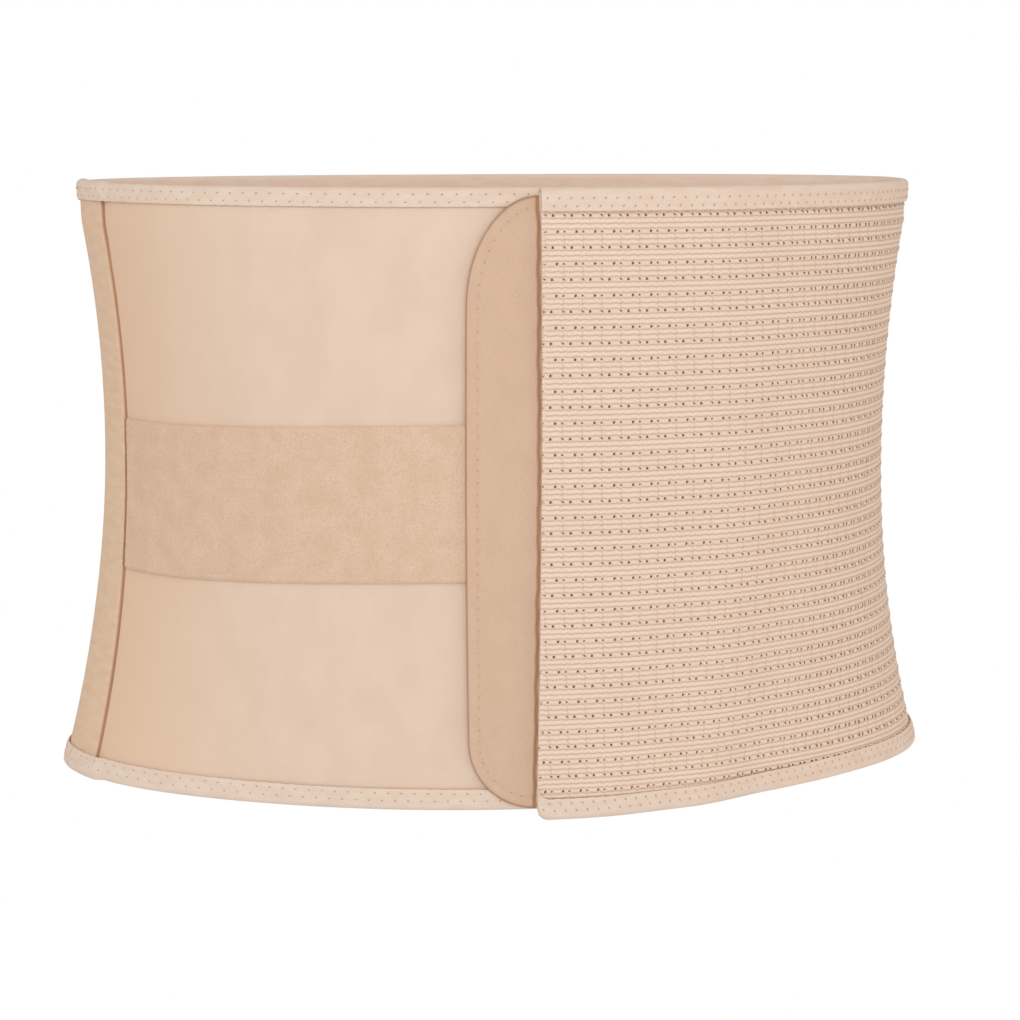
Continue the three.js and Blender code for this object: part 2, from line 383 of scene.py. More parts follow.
def add_node(tree, kind, inputs=(), **settings):
    made = tree.nodes.new(kind)
    for key, value in settings.items():
        setattr(made, key, value)
    for label, value in dict(inputs).items():
        fill(tree, made.inputs[label], value)
    return made


def new_tree(name, inputs):
    """A tree of Geometry Nodes, and the sockets that bring in its inputs."""
    tree = bpy.data.node_groups.new(name, "GeometryNodeTree")
    for label, kind in {"Geometry": "Geometry", **inputs}.items():
        tree.interface.new_socket(name=label, in_out="INPUT", socket_type="NodeSocket" + kind)
    tree.interface.new_socket(name="Geometry", in_out="OUTPUT", socket_type="NodeSocketGeometry")
    return tree, tree.nodes.new("NodeGroupInput").outputs


def end_tree(tree, shape, material):
    """Gives a tree's shape its material and sends it out."""
    done = add_node(tree, "GeometryNodeSetMaterial", {"Geometry": shape, "Material": material})
    add_node(tree, "NodeGroupOutput", {"Geometry": done.outputs["Geometry"]})
    return tree


def run_tree(tree, mesh, values, name):
    """The plain mesh that a tree makes from a first one, its inputs set by their sockets' identifiers."""
    base = add_object(name + "_base", mesh)
    modifier = base.modifiers.new("make", "NODES")
    modifier.node_group = tree
    for item in tree.interface.items_tree:
        if item.item_type == "SOCKET" and item.in_out == "INPUT" and item.name in values:
            modifier[item.identifier] = values[item.name]
    graph = bpy.context.evaluated_depsgraph_get()
    made = base.evaluated_get(graph)
    mesh = bpy.data.meshes.new_from_object(made, preserve_all_data_layers=True, depsgraph=graph)
    mesh.name = name
    base.modifiers.remove(modifier)
    bpy.data.objects.remove(base)
    return mesh


def knit_tree():
    """Repeats one cell of the knit over a flat grid and welds the copies."""
    tree, start = new_tree("knit_rows", {
        "Cell": "Object", "Columns": "Int", "Rows": "Int", "Width": "Float", "Height": "Float",
        "Weld": "Float", "Cloth": "Material",
    })

    def span(count, size):
        less = add_node(tree, "ShaderNodeMath", {0: start[count], 1: 1}, operation="SUBTRACT")
        sides = {0: less.outputs[0], 1: start[size]}
        return add_node(tree, "ShaderNodeMath", sides, operation="MULTIPLY").outputs[0]

    grid = add_node(tree, "GeometryNodeMeshGrid", {
        "Size X": span("Columns", "Width"), "Size Y": span("Rows", "Height"),
        "Vertices X": start["Columns"], "Vertices Y": start["Rows"],
    })
    cell = add_node(tree, "GeometryNodeObjectInfo", {"Object": start["Cell"]})
    copies = add_node(tree, "GeometryNodeInstanceOnPoints", {
        "Points": grid.outputs["Mesh"], "Instance": cell.outputs["Geometry"],
    })
    real = add_node(tree, "GeometryNodeRealizeInstances", {"Geometry": copies.outputs["Instances"]})
    weld = add_node(tree, "GeometryNodeMergeByDistance", {
        "Geometry": real.outputs["Geometry"], "Distance": start["Weld"],
    })
    return end_tree(tree, weld.outputs["Geometry"], start["Cloth"])


BEAD_SIDES = 5
BEAD_RINGS = 4


def stitch_tree():
    """Sets a thread bead on each point, lying along the point's direction and facing its outward one."""
    tree, start = new_tree("stitches", {"Length": "Float", "Thickness": "Float", "Thread": "Material"})
    bead = add_node(tree, "GeometryNodeMeshUVSphere", {
        "Segments": BEAD_SIDES, "Rings": BEAD_RINGS, "Radius": 0.5,
    })
    size = add_node(tree, "ShaderNodeCombineXYZ", {
        "X": start["Thickness"], "Y": start["Thickness"], "Z": start["Length"],
    })
    turned = None
    for axis, label in (("X", "outward"), ("Z", "along")):
        field = add_node(tree, "GeometryNodeInputNamedAttribute", {"Name": label}, data_type="FLOAT_VECTOR")
        align = add_node(tree, "FunctionNodeAlignRotationToVector", {
            "Vector": field.outputs["Attribute"],
        }, axis=axis)
        if turned is not None:
            fill(tree, align.inputs["Rotation"], turned)
            align.pivot_axis = "X"
        turned = align.outputs["Rotation"]
    copies = add_node(tree, "GeometryNodeInstanceOnPoints", {
        "Points": start["Geometry"], "Instance": bead.outputs["Mesh"],
        "Rotation": turned, "Scale": size.outputs["Vector"],
    })
    real = add_node(tree, "GeometryNodeRealizeInstances", {"Geometry": copies.outputs["Instances"]})
    return end_tree(tree, real.outputs["Geometry"], start["Thread"])


def stitches(name, starts, ends, length_share, thickness, material):
    """Thread beads that lie from each start to its end, points given as rows of position, offset, height."""
    a = place(*np.asarray(starts).T)
    b = place(*np.asarray(ends).T)
    middle = (a + b) / 2
    along = b - a
    reach = np.linalg.norm(along, axis=1)
    lifted = np.asarray(starts).copy()
    lifted[:, 1] += 1 * MM
    outwards = place(*lifted.T) - a
    mesh = bpy.data.meshes.new(name)
    mesh.from_pydata(middle.tolist(), [], [])
    for label, rows in (("along", along / reach[:, None]), ("outward", outwards / MM)):
        layer = mesh.attributes.new(label, "FLOAT_VECTOR", "POINT")
        layer.data.foreach_set("vector", rows.astype(np.float32).ravel())
    values = {"Length": float(reach.mean() * length_share), "Thickness": thickness, "Thread": material}
    mesh = run_tree(STITCHES, mesh, values, name)
    finish_piece(name, mesh, material, ())


# Materials

class Finish:
    """A procedural cloth finish under construction. Its patterns count repeats per millimetre of cloth."""

    def __init__(self, name, roughness, sheen, coordinates="UV"):
        self.material = bpy.data.materials.new(name)
        self.material.use_nodes = True
        self.tree = self.material.node_tree
        self.shader = self.tree.nodes["Principled BSDF"]
        values = {"Roughness": roughness, "Specular IOR Level": 0.2, "Sheen Weight": sheen,
                  "Sheen Roughness": 0.6, "Sheen Tint": (1.0, 0.93, 0.86, 1)}
        for label, value in values.items():
            self.shader.inputs[label].default_value = value
        self.coordinates = self.node("ShaderNodeTexCoord").outputs[coordinates]

    def node(self, kind, inputs=(), **settings):
        return add_node(self.tree, kind, inputs, **settings)

    def pattern(self, kind, x, y, inputs=(), **settings):
        """A texture that repeats x and y times per millimetre."""
        mapping = self.node("ShaderNodeMapping", {
            "Vector": self.coordinates, "Scale": (x / MM, y / MM, x / MM),
        })
        inputs = {"Vector": mapping.outputs["Vector"], "Scale": 1, **dict(inputs)}
        return self.node(kind, inputs, **settings)

    def noise(self, x, y, detail=2.0, rough=0.5):
        inputs = {"Detail": detail, "Roughness": rough}
        return self.pattern("ShaderNodeTexNoise", x, y, inputs).outputs["Fac"]

    def cells(self, x, y):
        return self.pattern("ShaderNodeTexVoronoi", x, y).outputs["Distance"]

    def waves(self, x, y, distortion, direction="X"):
        inputs = {"Distortion": distortion, "Detail": 1}
        return self.pattern("ShaderNodeTexWave", x, y, inputs, bands_direction=direction).outputs["Fac"]

    def spread(self, source, low, high, out_low=0.0, out_high=1.0):
        inputs = {"Value": source, "From Min": low, "From Max": high, "To Min": out_low, "To Max": out_high}
        return self.node("ShaderNodeMapRange", inputs, interpolation_type="SMOOTHSTEP").outputs["Result"]

    def colours(self, share, first, second):
        """A colour that goes from the first to the second with a share, each a screen colour or a socket."""
        made = self.node("ShaderNodeMix", {"Factor": share}, data_type="RGBA")
        sockets = [s for s in made.inputs if s.type == "RGBA"]
        for socket, colour in zip(sockets, (first, second)):
            fill(self.tree, socket, linear(*colour) if isinstance(colour, tuple) else colour)
        return [s for s in made.outputs if s.type == "RGBA"][0]

    def drift(self, x, y, detail, first, second):
        """A colour that drifts over the cloth from one to another and back."""
        return self.colours(self.spread(self.noise(x, y, detail), 0.3, 0.7), first, second)

    def shaded(self, base, colour, *levels):
        """The base turned into a colour as the mesh's shade goes through the levels, from 0 to 1 if none."""
        shade = self.node("ShaderNodeAttribute", attribute_name="shade").outputs["Fac"]
        return self.colours(self.spread(shade, *(levels or (0.0, 1.0))), base, colour)

    def bump(self, source, height, strength, under=None):
        inputs = {"Height": source, "Distance": height, "Strength": strength}
        if under is not None:
            inputs["Normal"] = under
        return self.node("ShaderNodeBump", inputs).outputs["Normal"]

    def done(self, colour, normal):
        fill(self.tree, self.shader.inputs["Base Color"], colour)
        fill(self.tree, self.shader.inputs["Normal"], normal)
        return self.material


def linear(*channels):
    """A colour given as it looks on a screen, from 0 to 255, in the linear values that shaders take."""
    return (*(((channel / 255 + 0.055) / 1.055) ** 2.4 for channel in channels), 1)


def knit_finish():
    finish = Finish("rib_knit", 0.9, 0.02)
    base = finish.drift(0.03, 0.05, 2.0, (237, 214, 196), (233, 208, 189))
    yarn = finish.spread(finish.noise(1.6, 0.8, 3), 0.3, 0.75)
    base = finish.colours(yarn, base, (242, 223, 206))
    # Painted shade: the ribs' valleys darken as deep as they sink
    base = finish.shaded(base, (216, 184, 157), -1.0, 0.0, 1.0, 0.0)
    # Painted shade: the holes turn dark brown inside
    base = finish.shaded(base, (154, 114, 88), 0.12, 0.55)
    # Painted light: where stretched holes open, their middle turns a lighter brown, as if lit inside
    base = finish.shaded(base, (192, 150, 118), 1.0, 1.5)
    weave = finish.bump(finish.waves(0.5, 0.25, 3.0), 0.05 * MM, 0.5)
    fuzz = finish.bump(finish.noise(2.5, 3.5, 3), 0.12 * MM, 0.6, weave)
    return finish.done(base, fuzz)


def tape_finish(name, colour, shadow, seam):
    finish = Finish(name, 0.9, 0.03)
    # The last colour is painted shade, taken where the mesh's shade rises
    base = finish.shaded(finish.drift(0.08, 0.3, 2.0, colour, shadow), seam)
    weave = finish.bump(finish.waves(0.4, 0.4, 2.0, "DIAGONAL"), 0.06 * MM, 0.6)
    fuzz = finish.bump(finish.noise(2.2, 2.2, 3), 0.15 * MM, 0.7, weave)
    return finish.done(base, fuzz)


def panel_finish():
    finish = Finish("brushed_panel", 0.9, 0.03)
    base = finish.drift(0.06, 0.04, 3, (232, 207, 186), (228, 202, 180))
    # Painted light: the panel is warmer and more saturated towards the side seam, and paler over the front,
    # where a broad reflection of the lights falls
    place_along = finish.node("ShaderNodeSeparateXYZ", {"Vector": finish.coordinates})
    side = finish.spread(place_along.outputs["X"], SIDE_SEAM, SIDE_SEAM / 2, 1.0, 0.0)
    base = finish.colours(side, base, (231, 198, 169))
    wales = finish.waves(0.36, 0.02, 1.5)
    base = finish.colours(finish.spread(wales, 0.0, 0.35, 0.12, 0.0), base, (206, 172, 144))
    weave = finish.bump(wales, 0.05 * MM, 0.5)
    fuzz = finish.bump(finish.noise(1.5, 2.5, 3), 0.1 * MM, 0.5, weave)
    return finish.done(base, fuzz)


def terry_finish():
    finish = Finish("loop_terry", 0.95, 0.03)
    base = finish.drift(0.1, 0.1, 3, (231, 200, 174), (225, 192, 164))
    loops = finish.spread(finish.cells(1.6, 1.6), 0.3, 0.9, 0.0, 0.5)
    base = finish.colours(loops, base, (208, 172, 143))
    # Painted shadow of the side seam's gap, carried over the band's end
    base = finish.shaded(base, (172, 124, 92))
    pile = finish.bump(finish.cells(1.6, 1.6), -0.2 * MM, 0.7)
    fuzz = finish.bump(finish.noise(2.6, 2.6, 3), 0.2 * MM, 0.7, pile)
    return finish.done(base, fuzz)


def suede_finish():
    finish = Finish("tab_suede", 0.95, 0.03)
    base = finish.drift(0.12, 0.08, 3, (214, 180, 153), (208, 174, 146))
    grain = finish.spread(finish.noise(1.2, 1.2, 4, 0.65), 0.3, 0.7)
    base = finish.colours(grain, base, (218, 187, 161))
    # Painted shade along the tab's rim, in its stitched groove and in the crease under the elastic's edge
    base = finish.shaded(base, (182, 134, 102))
    nap = finish.bump(finish.noise(1.4, 1.4, 4, 0.65), 0.15 * MM, 0.7)
    return finish.done(base, nap)


def thread_finish(name, colour, shadow):
    finish = Finish(name, 0.85, 0.1, "Object")
    base = finish.drift(0.4, 0.4, 2.0, colour, shadow)
    ply = finish.bump(finish.noise(4, 4), 0.05 * MM, 0.6)
    return finish.done(base, ply)


STITCHES = stitch_tree()
KNIT = knit_finish()
# Its last colour is painted shade in the dents of the zigzag seam
TAPE = tape_finish("edge_tape", (234, 212, 194), (229, 205, 185), (204, 172, 147))
# Its last colour is the painted shadow of the gap along its front seam
STRIP = tape_finish("side_tape", (232, 200, 170), (226, 192, 162), (178, 130, 98))
PANEL = panel_finish()
TERRY = terry_finish()
SUEDE = suede_finish()
THREAD = thread_finish("sewing_thread", (238, 215, 194), (231, 205, 182))
# Dark thread for beads that stand for the shade in needle holes: painted shade
NEEDLE_HOLE_SHADE = thread_finish("needle_points", (204, 168, 140), (192, 156, 128))


# The rib knit

HOLE_HALF = 0.1
BIG_HOLE_B, SMALL_HOLE_B = -0.36, 0.0
SLANT_A, BIG_HOLE_A = 0.03, 0.40
RIB_DEPTH = 0.36 * MM
HOLE_DEPTH = 1.2 * MM
FLOAT_RISE = 0.25 * MM
RIB_WAVE = 0.09
CREASED_RIBS = (3, 4)
RIB_CREASE = 0.12 * MM
RIB_CREASE_SHADE = 0.4
RIBS = 6
ROW_KINDS = {2: "A", 5: "B"}

# Levels of a rib's lines, as a share of its height, and how far each is sunk; the sink also sets the painted
# shade of the rib's valleys
PLAIN_LEVELS = ((0, 1.0), (0.22, 0.28), (0.5, 0.0), (0.78, 0.28))
DOT_LEVELS = ((0, 1.0), (0.17, 0.35), (0.5, 0.0), (0.83, 0.35))

# How deep each hole is sunk at the levels of its dot row, by the row's kind and the hole's column; the same
# share is the hole's painted shade
HOLES = {
    ("A", BIG_HOLE_A): {1: 0.3, 2: 1.0, 3: 0.3},
    ("A", SLANT_A): {2: 0.7, 3: 0.25},
    ("A", SLANT_A - HOLE_HALF): {3: 0.4},
    ("B", BIG_HOLE_B): {1: 0.3, 2: 1.0, 3: 0.3},
    ("B", SMALL_HOLE_B): {1: 0.1, 2: 0.75, 3: 0.1},
}


def hole_columns(*centres):
    marks = {-0.5, 0.5, -0.18, 0.19}
    for centre in centres:
        marks.update((centre - HOLE_HALF, centre, centre + HOLE_HALF))
    return sorted(m for m in marks if -0.5 <= m <= 0.5)


PLAIN_COLUMNS = (-0.5, -0.25, -0.09, 0.0, 0.09, 0.3, 0.5)
HOLE_CENTRES = {"A": (SLANT_A, BIG_HOLE_A), "B": (BIG_HOLE_B, SMALL_HOLE_B)}
B_COLUMNS = hole_columns(*HOLE_CENTRES["B"])
A_COLUMNS = hole_columns(*HOLE_CENTRES["A"])

# How far the holes' shade spreads in their middle and at their sides, and how their floor rises, where
# the cloth is stretched
OPENING_MIDDLE = 0.6
OPENING_SIDE = 0.3
OPENING_RISE = 0.9 * MM
OPENING_START = 50 * MM
OPENING_WAY = 110 * MM


def hole_opening(kind, u, step):
    """How much a point of a dot row takes part when its holes open."""
    nearest = min(abs(u - centre) for centre in HOLE_CENTRES.get(kind, (1,)))
    if step == 0 or nearest > HOLE_HALF + 0.001:
        return 0
    return OPENING_MIDDLE if nearest < 0.001 else OPENING_SIDE


def knit_drift(position, height):
    """How far the worn cloth's columns lie to the right of where an even knit would have them."""
    bow = BOW_RATE * (height - BOW_LEVEL) ** 2
    return bow + STRETCH * np.exp(-((position - STRETCH_MIDDLE) / STRETCH_WIDTH) ** 2)


def knit_lines():
    """Lines of one cell from its foot up: height, columns, and each column's sink, shade and opening."""
    lines = []
    for rib in range(RIBS):
        kind = ROW_KINDS.get(rib, "plain")
        columns = {"A": A_COLUMNS, "B": B_COLUMNS}.get(kind, PLAIN_COLUMNS)
        levels = PLAIN_LEVELS if kind == "plain" else DOT_LEVELS
        for step, (rise, sunk) in enumerate(levels):
            row = []
            for u in columns:
                # Each point takes painted shade as deep as it sinks, the creased ribs more
                sink, shade = RIB_DEPTH * sunk, -sunk
                if kind == "plain" and u == 0 and rib in CREASED_RIBS:
                    sink, shade = sink + RIB_CREASE, shade - RIB_CREASE_SHADE
                # A hole's share is both its sink and its painted shade
                share = HOLES.get((kind, u), {}).get(step, 0)
                if share:
                    sink, shade = sink + HOLE_DEPTH * share, share
                elif kind != "plain" and step == 2:
                    sink -= FLOAT_RISE
                row.append((sink, shade, hole_opening(kind, u, step)))
            wave = RIB_WAVE if step != 2 else 0
            lines.append(((rib + rise) * RIB, columns, row, wave * RIB))
    lines.append((RIBS * RIB, *lines[0][1:]))
    return lines


def knit_cell():
    points, shades, openings, faces = [], [], [], []
    last = None
    for height, columns, row, wave in knit_lines():
        line = list(range(len(points), len(points) + len(columns)))
        for u, (sink, shade, opening) in zip(columns, row):
            points.append((u * CELL_WIDTH, height + wave * math.sin(6 * math.pi * u), -sink))
            shades.append(shade)
            openings.append(opening)
        if last is not None:
            for face in zip_lines(last[0], line, last[1], columns):
                deepest = max(range(len(face)), key=lambda corner: shades[face[corner]])
                turned = face[deepest:] + face[:deepest]
                faces += [turned[:3], [turned[0], *turned[2:]]] if len(face) == 4 else [face]
        last = (line, columns)
    mesh = new_mesh("knit_cell", points, faces, shade=shades)
    add_values(mesh, "opening", openings)
    return add_object("knit_cell", mesh)


# The cell's B dot row is its sixth rib, and the cells are counted down from the top row of dots, an A row
CELL_HEIGHT = RIBS * RIB
KNIT_ROWS = 21
KNIT_FOOT = KNIT_TOP - 2.5 * RIB - 19 * CELL_HEIGHT
INNER_LINES = 14
INNER_STEP = CELL_WIDTH / 3
INNER_SHADE = 0.1
WELD = 0.01 * MM
NEAR = 0.01 * MM
HEM_LOWEST = -CLOTH_FOOT - CLOSING_DROP
HEM_TOP = -CLOTH_FOOT + HEM_CORNER


def flat_knit(name, first, last, tree, cell):
    """The knit laid flat over a stretch and a little more: x along the waist, y up and z outwards."""
    most_drift = float(knit_drift(STRETCH_MIDDLE, -BOTTOM_DEPTH))
    before = math.floor((first - KNIT_ORIGIN - most_drift) / CELL_WIDTH + 0.5)
    after = math.ceil((last - KNIT_ORIGIN) / CELL_WIDTH + 0.5)
    columns = after - before
    values = {"Cell": cell, "Columns": columns, "Rows": KNIT_ROWS, "Width": CELL_WIDTH,
              "Height": CELL_HEIGHT, "Weld": WELD, "Cloth": KNIT}
    flat = run_tree(tree, bpy.data.meshes.new(name + "_base"), values, name)
    co = np.zeros(len(flat.vertices) * 3, np.float32)
    flat.vertices.foreach_get("co", co)
    co = co.reshape(-1, 3).astype(float)
    position = co[:, 0] + KNIT_ORIGIN + (before + columns / 2 - 0.5) * CELL_WIDTH
    height = co[:, 1] - co[:, 1].min() + KNIT_FOOT
    # Where the cloth stretches the holes' painted shade spreads, and past full shade their middle is painted
    # lighter
    opened = point_values(flat, "opening") * ease((position - OPENING_START) / OPENING_WAY)
    shade = (point_values(flat, "shade") + opened).astype(np.float32)
    flat.attributes["shade"].data.foreach_set("value", shade)
    position += knit_drift(position, height)
    rise = co[:, 2] + np.where(co[:, 2] < -HOLE_DEPTH / 6, OPENING_RISE * opened, 0)
    flat.vertices.foreach_set("co", np.stack([position, height, rise], axis=1).astype(np.float32).ravel())
    return flat


def cut_knit(flat, first, last):
    """Cuts flat knit to its stretch and height: its points, their shades, its faces and its rim's points."""
    work = bmesh.new()
    work.from_mesh(flat)
    for point, way in (((first, 0, 0), (-1, 0, 0)), ((last, 0, 0), (1, 0, 0)),
                       ((0, CLOTH_TOP, 0), (0, 1, 0)), ((0, HEM_LOWEST, 0), (0, -1, 0))):
        geometry = work.verts[:] + work.edges[:] + work.faces[:]
        bmesh.ops.bisect_plane(work, geom=geometry, dist=1e-6, plane_co=point, plane_no=way,
                               clear_outer=True)
    work.verts.ensure_lookup_table()
    work.verts.index_update()
    shade_layer = work.verts.layers.float["shade"]
    rows = np.array([v.co for v in work.verts])
    shades = [v[shade_layer] for v in work.verts]
    faces = [[v.index for v in f.verts] for f in work.faces]
    rim = sorted({v.index for e in work.edges if len(e.link_faces) == 1 for v in e.verts})
    work.free()
    return rows, shades, faces, rim


def hem_heights(rows):
    """Heights of the knit's points once its lowest part is drawn up to the hem's line."""
    share = np.clip((HEM_TOP - rows[:, 1]) / (HEM_TOP - HEM_LOWEST), 0, 1)
    hemmed = HEM_TOP - share * (HEM_TOP - elastic_bottom(rows[:, 0]))
    return np.where(share > 0, hemmed, rows[:, 1])


def knit_back(first, last, count):
    """Points of the elastic's plain back and the lines that they form, numbered on from a count."""
    along = stops(first, last, INNER_STEP)
    foot = elastic_bottom(along)
    lines, points = [], []
    for share in np.linspace(0, 1, INNER_LINES):
        start = count + len(points)
        lines.append(list(range(start, start + len(along))))
        for p, low in zip(along, foot):
            points.append((p, elastic_offset(p), low + (CLOTH_TOP - low) * share))
    return lines, np.array(points)


def knit_sector(name, first, last, tree, cell):
    """One stretch of the elastic between two girth positions: its knit face, its back and its cut edges."""
    rows, shades, faces, rim = cut_knit(flat_knit(name, first, last, tree, cell), first, last)

    def rim_line(axis, level):
        """The rim's points at a level of one axis, in order along the other one."""
        return sorted((i for i in rim if abs(rows[i, axis] - level) < NEAR), key=lambda i: rows[i, 1 - axis])

    foot = rim_line(1, HEM_LOWEST)
    rows[:, 1] = hem_heights(rows)
    top, start, stop = rim_line(1, CLOTH_TOP), rim_line(0, first), rim_line(0, last)
    outer = elastic_offset(rows[:, 0]) + ELASTIC_THICKNESS + rows[:, 2]
    inner, back = knit_back(first, last, len(rows))
    points = np.concatenate([np.stack([rows[:, 0], outer, rows[:, 1]], axis=1), back])
    shades += [INNER_SHADE] * len(back)

    def sew(low, high, axis, flip):
        made = zip_lines(low, high, points[low, axis].tolist(), points[high, axis].tolist())
        return [face[::-1] for face in made] if flip else made

    for low_line, high_line in zip(inner, inner[1:]):
        faces += sew(low_line, high_line, 0, True)
    faces += sew(inner[0], foot, 0, False)
    faces += sew(inner[-1], top, 0, True)
    faces += sew([line[0] for line in inner], start, 2, True)
    faces += sew([line[-1] for line in inner], stop, 2, False)
    mesh = new_mesh(name, place(*points.T), faces, points[:, [0, 2]], shades)
    return outward(mesh)


# Pieces

SECTORS = 4


def make_elastic():
    tree = knit_tree()
    cell = knit_cell()
    cell_stops = np.linspace(CLOSING_EDGE, ELASTIC_END, SECTORS + 1)
    for number, (first, last) in enumerate(zip(cell_stops, cell_stops[1:]), 1):
        name = f"elastic_knit_{number}"
        mesh = knit_sector(name, first, last, tree, cell)
        piece = finish_piece(name, mesh, KNIT, ("elastic_panel",))
    bpy.data.objects.remove(cell)


def undulate(p, h, size, seed):
    """Slow shallow waves of cloth that isn't quite flat."""
    turn = seed * 1.7
    return size * (np.sin(p / (23 * MM) + turn) * np.sin(h / (31 * MM) + 2 * turn)
                   + 0.6 * np.sin(p / (11 * MM) + h / (17 * MM) + 3 * turn)) / 1.6


PANEL_ROWS = 90
PANEL_WAVE = 0.1 * MM
PANEL_CALM = 20 * MM
PANEL_STEP = 2.5 * MM
CUT_RIM = 1 * MM


def panel_section(p):
    offset, height = cloth_section(-CLOTH_FOOT, CLOTH_TOP, 0, PANEL_THICKNESS, PANEL_ROWS, CUT_RIM)
    waves = undulate(p, height[:PANEL_ROWS], PANEL_WAVE, 1)
    offset[:PANEL_ROWS] += waves * ease((p - FRONT_JOINT) / PANEL_CALM)
    return offset, height


def make_front_panel():
    positions = stops(FRONT_JOINT, PANEL_END, PANEL_STEP)
    piece = make_cloth("front_panel_cloth", positions, panel_section, PANEL, "front_panel")


STRIP_ROWS = 80
STRIP_WAVE = 0.12 * MM
STRIP_RIM = 1.2 * MM
STRIP_RIM_SHARE = 0.2
SEAM_DIP = 0.85
SEAM_INSET = 3 * SEAM_WIDTH
SEAM_STITCH = 4.2 * MM
SEAM_SINK = 0.15 * MM


def seam_shades(rows, seam):
    return np.concatenate([np.full(rows, seam), np.zeros(INNER_ROWS)])


def strip_section(p):
    inside = BAND_OFFSET - CLOSE_FIT
    # The front seam dips and takes the painted shadow of the gap beside it
    seam = 1 - ease((SIDE_SEAM - p - SEAM_WIDTH / 2) / SEAM_WIDTH)
    risen = STRIP_RIM_SHARE + (1 - STRIP_RIM_SHARE) * float(round_rim(p - STRIP_REAR, STRIP_RIM))
    outside = inside + (STRIP_THICKNESS + CLOSE_FIT) * risen * (1 - SEAM_DIP * seam)
    offset, height = cloth_section(-CLOTH_FOOT, CLOTH_TOP, inside, outside, STRIP_ROWS, CUT_RIM)
    offset[:STRIP_ROWS] += undulate(p, height[:STRIP_ROWS], STRIP_WAVE, 2)
    return offset, height, seam_shades(STRIP_ROWS, seam)


def make_side_strip():
    """The tape over the side joint, with its sections closer together at its front seam."""
    plain = stops(STRIP_REAR, SIDE_SEAM - 4 * MM, 1.5 * MM)
    positions = np.concatenate([plain, stops(SIDE_SEAM - 3.6 * MM, SIDE_SEAM, 0.4 * MM)])
    piece = make_cloth("side_strip_tape", positions, strip_section, STRIP, "side_strip")


def make_side_stitches():
    levels = np.arange(-CLOTH_FOOT + SEAM_STITCH, CLOTH_TOP - SEAM_STITCH, SEAM_STITCH)
    rise = BAND_OFFSET + STRIP_THICKNESS - SEAM_SINK
    starts = [(SIDE_SEAM - SEAM_INSET, rise, h) for h in levels]
    ends = [(SIDE_SEAM - SEAM_INSET, rise, h + SEAM_STITCH * 0.5) for h in levels]
    stitches("side_seam_stitches", starts, ends, 1.0, 0.45 * MM, THREAD)


BAND_ROWS = 72
HEM_ROWS = 3
BAND_RIM = 1.2 * MM
BAND_DIP = 0.1 * MM
BAND_HEM = 1.6 * MM
BAND_HEM_SINK = 0.75 * MM
PILE_RISE = 0.28 * MM
PILE_MIDDLE = 0.35
OVERLOCK_STEP = 0.8 * MM


def band_section(p, draw):
    """The loop band's section, with loops that rise and sink at random between its plain hems."""
    middle = float(band_middle(p))
    low, high = middle - BAND_HEIGHT / 2, middle + BAND_HEIGHT / 2
    # The painted seam shadow goes on over the band's first millimetres
    seam = 1 - ease((p - BAND_START - 1.5 * SEAM_WIDTH) / SEAM_WIDTH)
    outside = BAND_OFFSET + BAND_THICKNESS - BAND_DIP * seam
    offset, height = cloth_section(low, high, BAND_OFFSET - CLOSE_FIT, outside, BAND_ROWS, BAND_RIM)
    outer = slice(HEM_ROWS, BAND_ROWS - HEM_ROWS)
    to_edge = BAND_HEIGHT / 2 - np.abs(height[outer] - middle)
    inside_hem = ease((to_edge - BAND_HEM) / BAND_HEM)
    pile = (draw.random(BAND_ROWS - 2 * HEM_ROWS) - PILE_MIDDLE) * PILE_RISE
    offset[outer] += pile * inside_hem - BAND_HEM_SINK * (1 - inside_hem)
    return offset, height, seam_shades(BAND_ROWS, seam)


def make_loop_band():
    """The loop band, with its sections closer together at the side seam."""
    draw = np.random.default_rng(7)
    seam = stops(BAND_START, BAND_START + 3 * SEAM_WIDTH, 0.3 * MM)
    positions = np.concatenate([seam, stops(seam[-1] + 0.6 * MM, BAND_END, 1.2 * MM)])
    piece = make_cloth("loop_band_pile", positions, lambda p: band_section(p, draw), TERRY,
                       "loop_band")


def make_band_overlock():
    """Thread sewn over the loop band's upper and lower edges, up to the closing edge."""
    starts, ends = [], []
    rise = BAND_OFFSET + BAND_THICKNESS - BAND_HEM_SINK
    for p in np.arange(BAND_START + 1 * MM, CLOSING_EDGE, OVERLOCK_STEP):
        for side in (-1, 1):
            edge = float(band_middle(p)) + side * BAND_HEIGHT / 2
            starts.append((p, rise - 0.4 * MM, edge + side * 0.1 * MM))
            ends.append((p + 0.5 * MM, rise + 0.3 * MM, edge - side * 2.3 * MM))
    stitches("loop_band_overlock", starts, ends, 1.1, 0.6 * MM, THREAD)


def tab_columns():
    """Positions across the tab, closer together towards its rounded edge."""
    turn = np.linspace(0, math.pi / 2, 30)
    curve = TAB_LEFT + TAB_REACH * (1 - np.cos(turn))
    crease = stops(CLOSING_EDGE - 3 * MM, CLOSING_EDGE - 0.3 * MM, 0.3 * MM)
    curve = curve[curve < crease[0] - 0.2 * MM]
    return np.concatenate([curve, crease, stops(CLOSING_EDGE, TAB_RIGHT, 1.5 * MM)])


def tab_outline():
    columns = tab_columns()
    upper = [(p, float(tab_top(p))) for p in columns]
    lower = [(p, float(tab_bottom(p))) for p in columns]
    straight = [(TAB_LEFT, h) for h in np.arange(lower[0][1], upper[0][1], 1.5 * MM)]
    return np.array(lower[::-1] + straight + upper)


